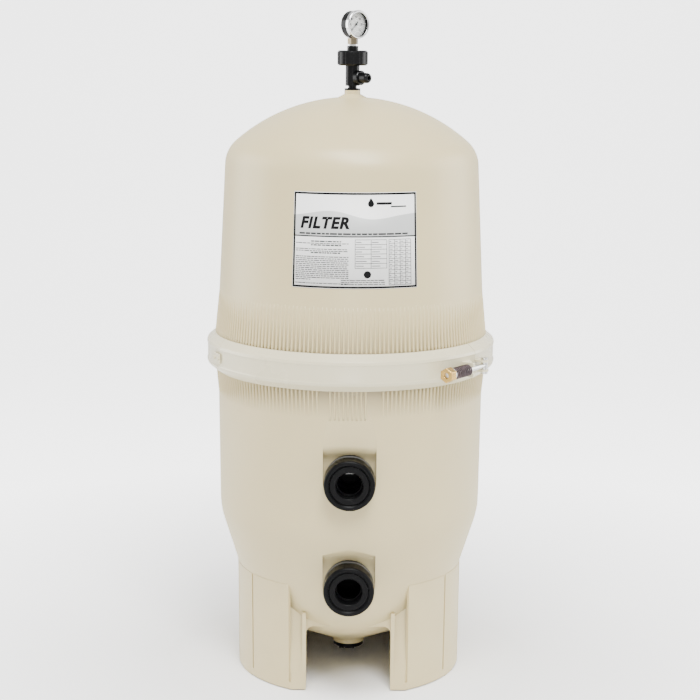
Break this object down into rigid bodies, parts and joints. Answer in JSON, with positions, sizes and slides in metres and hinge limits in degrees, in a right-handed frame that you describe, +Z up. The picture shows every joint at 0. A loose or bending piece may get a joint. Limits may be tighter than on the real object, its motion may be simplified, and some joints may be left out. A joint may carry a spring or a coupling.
{
  "type": "swimming pool filter tank",
  "caption": "Tall two-part plastic pool filter tank closed by a band clamp, with two union ports low on the front, a skirt base, and an air relief valve with a pressure gauge on top.",
  "frame": {"origin": "on the floor, on the tank's axis, at the middle of the base", "axes": "+Z up along the tank's axis, the two ports look along -Y, +X to the right seen from the front"},
  "size_m": [0.546, 0.5579, 1.252],
  "materials": {
    "tank_plastic": "moulded glass-filled plastic, satin",
    "label_print": "printed film, satin",
    "black_plastic": "moulded, fine satin",
    "gloss_black": "moulded, glossy",
    "grey_plastic": "moulded, satin",
    "clamp_paint": "powder coat, satin",
    "steel": "stainless, satin",
    "spring_steel": "dark oiled spring wire",
    "brass": "turned, satin",
    "rubber": "moulded rubber",
    "tape": "PTFE tape, matt",
    "chrome": "polished",
    "glass": "clear window",
    "dial_print": "printed enamel",
    "needle": "black enamel",
    "grid_cloth": "woven polypropylene over a frame",
    "white_plastic": "moulded, satin"
  },
  "bodies": {
    "tank": {"lower_tank": "tank_plastic", "upper_tank_lid": "tank_plastic", "tank_o_ring": "rubber", "label": "label_print", "clamp_left": "clamp_paint", "clamp_front": "clamp_paint", "clamp_right": "clamp_paint", "clamp_link_left": "clamp_paint", "clamp_link_rear": "clamp_paint", "valve_body": "gloss_black", "outlet_nut": "gloss_black", "outlet_tip": "gloss_black", "gauge_adapter": "gloss_black", "thread_tape": "tape", "gauge_stem": "brass", "gauge_case": "gloss_black", "gauge_lens": "glass", "gauge_bezel": "chrome", "gauge_dial": "dial_print", "movement_frame": "brass", "bourdon_tube": "brass", "partial_grid": "grid_cloth", "full_grids": "grid_cloth", "grid_manifold": "white_plastic", "outlet_elbow": "black_plastic", "standpipe": "white_plastic", "inlet_diffuser": "black_plastic", "locator_tray": "white_plastic", "retainer_rod": "steel", "retainer_washer": "steel", "wing_nut": "steel", "air_bleed_tube": "white_plastic", "air_bleed_screen": "white_plastic", "upper_bulkhead": "black_plastic", "upper_gasket": "rubber", "upper_lock_nut": "grey_plastic", "upper_union_seal": "rubber", "lower_bulkhead": "black_plastic", "lower_gasket": "rubber", "lower_lock_nut": "grey_plastic", "lower_union_seal": "rubber"},
    "upper_tail": {"upper_union_tail": "black_plastic"},
    "upper_nut": {"upper_union_nut": "black_plastic"},
    "lower_tail": {"lower_union_tail": "black_plastic"},
    "lower_nut": {"lower_union_nut": "black_plastic"},
    "drain_seal": {"drain_o_ring": "rubber"},
    "drain_screw": {"drain_plug": "black_plastic"},
    "clamp_bolt": {"t_bolt": "steel", "clamp_spring": "spring_steel"},
    "bolt_washer": {"clamp_washer": "steel"},
    "bolt_nut": {"clamp_nut": "brass"},
    "relief_knob": {"valve_knob": "gloss_black"},
    "relief_piston": {"valve_piston": "black_plastic"},
    "needle": {"gauge_pointer": "needle", "gauge_pinion": "brass"},
    "sector": {"gauge_sector": "brass"}
  },
  "joints": [
    {"name": "upper_tail_slide", "type": "slide", "parent": "tank", "child": "upper_tail", "axis": [0, -1, 0], "range_m": [0, 0.012]},
    {"name": "upper_nut_turn", "type": "hinge", "parent": "upper_tail", "child": "upper_nut", "pos_m": [0, -0.263, 0.419], "axis": [0, -1, 0], "range_deg": [0, 1080]},
    {"name": "lower_tail_slide", "type": "slide", "parent": "tank", "child": "lower_tail", "axis": [0, -1, 0], "range_m": [0, 0.012]},
    {"name": "lower_nut_turn", "type": "hinge", "parent": "lower_tail", "child": "lower_nut", "pos_m": [0, -0.247, 0.217], "axis": [0, -1, 0], "range_deg": [0, 1080]},
    {"name": "drain_seal_slide", "type": "slide", "parent": "tank", "child": "drain_seal", "axis": [0, 0, -1], "range_m": [0, 0.012]},
    {"name": "drain_plug_turn", "type": "hinge", "parent": "drain_seal", "child": "drain_screw", "pos_m": [0, 0, 0.03], "axis": [0, 0, -1], "range_deg": [0, 1440]},
    {"name": "t_bolt_swing", "type": "hinge", "parent": "tank", "child": "clamp_bolt", "pos_m": [0.2446, -0.14988, 0.615], "axis": [0, 0, 1], "range_deg": [0, 75]},
    {"name": "washer_slide", "type": "slide", "parent": "clamp_bolt", "child": "bolt_washer", "axis": [-0.6032, -0.7976, 0], "range_m": [0, 0.006], "deforming": ["clamp_spring"]},
    {"name": "clamp_nut_turn", "type": "hinge", "parent": "bolt_washer", "child": "bolt_nut", "pos_m": [0.17342, -0.244, 0.615], "axis": [-0.6032, -0.7976, 0], "range_deg": [0, 1440]},
    {"name": "relief_knob_turn", "type": "hinge", "parent": "tank", "child": "relief_knob", "pos_m": [0, 0, 1.165], "axis": [0, 0, 1], "range_deg": [0, 90]},
    {"name": "relief_piston_lift", "type": "slide", "parent": "tank", "child": "relief_piston", "axis": [0, 0, 1], "range_m": [0, 0.006]},
    {"name": "needle_turn", "type": "hinge", "parent": "tank", "child": "needle", "pos_m": [0, 0, 1.226], "axis": [-0.6561, 0.7547, 0], "range_deg": [0, 270]},
    {"name": "sector_turn", "type": "hinge", "parent": "tank", "child": "sector", "pos_m": [-0.01019, -0.00886, 1.226], "axis": [0.6561, -0.7547, 0], "range_deg": [0, 45], "stiffness_Nm_per_rad": 0.0005}
  ],
  "couplings": [
    {"joint": "upper_tail_slide", "follows": "upper_nut_turn", "m_per_rad": 0.00063694},
    {"joint": "lower_tail_slide", "follows": "lower_nut_turn", "m_per_rad": 0.00063694},
    {"joint": "drain_seal_slide", "follows": "drain_plug_turn", "m_per_rad": 0.00047695},
    {"joint": "washer_slide", "follows": "clamp_nut_turn", "m_per_rad": 0.00023871},
    {"joint": "relief_piston_lift", "follows": "relief_knob_turn", "m_per_rad": 0.0038193},
    {"joint": "needle_turn", "follows": "sector_turn", "ratio": 5.9994}
  ]
}
